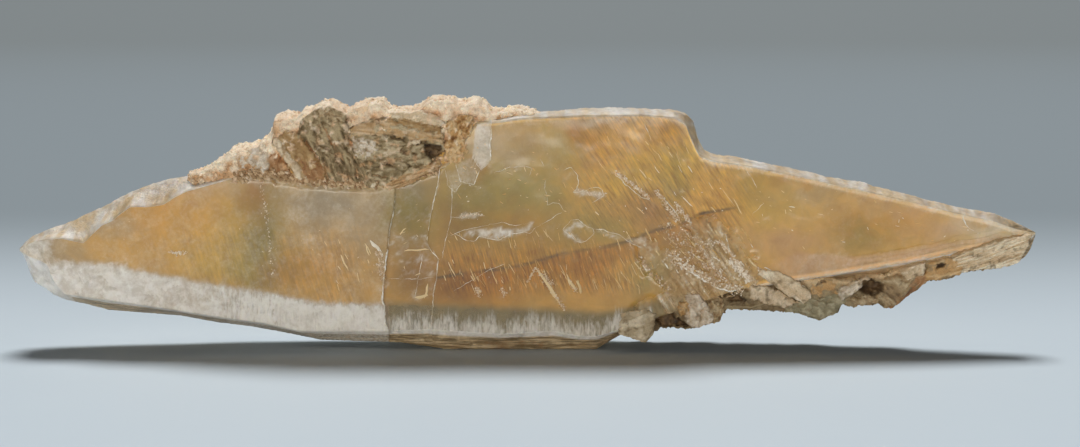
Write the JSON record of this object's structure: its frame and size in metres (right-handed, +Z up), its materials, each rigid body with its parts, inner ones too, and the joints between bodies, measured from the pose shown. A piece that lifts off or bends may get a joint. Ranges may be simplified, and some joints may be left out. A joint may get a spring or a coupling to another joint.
{
  "type": "selenite crystal blade",
  "caption": "Long tabular gypsum crystal, honey coloured and hazy, with a sandy crusted shoulder and a thin right tip; it stands on its lower edge as a display specimen.",
  "frame": {"origin": "middle of the bounding box, on the surface that the blade stands on", "axes": "+X along the blade towards its thin tip, -Y out of the wide cleavage face that is seen, +Z up"},
  "size_m": [0.26, 0.022, 0.0645],
  "materials": {
    "honey_gypsum": "hazy translucent crystal with satin cleavage faces and frosted white edges",
    "pink_sand": "rough granular crust, matte",
    "brown_sand": "rough lumpy rind with clay, matte"
  },
  "bodies": {
    "root": {"blade_crystal": "honey_gypsum", "shoulder_sand_crust": "pink_sand", "underside_sand_rind": "brown_sand"}
  },
  "joints": []
}
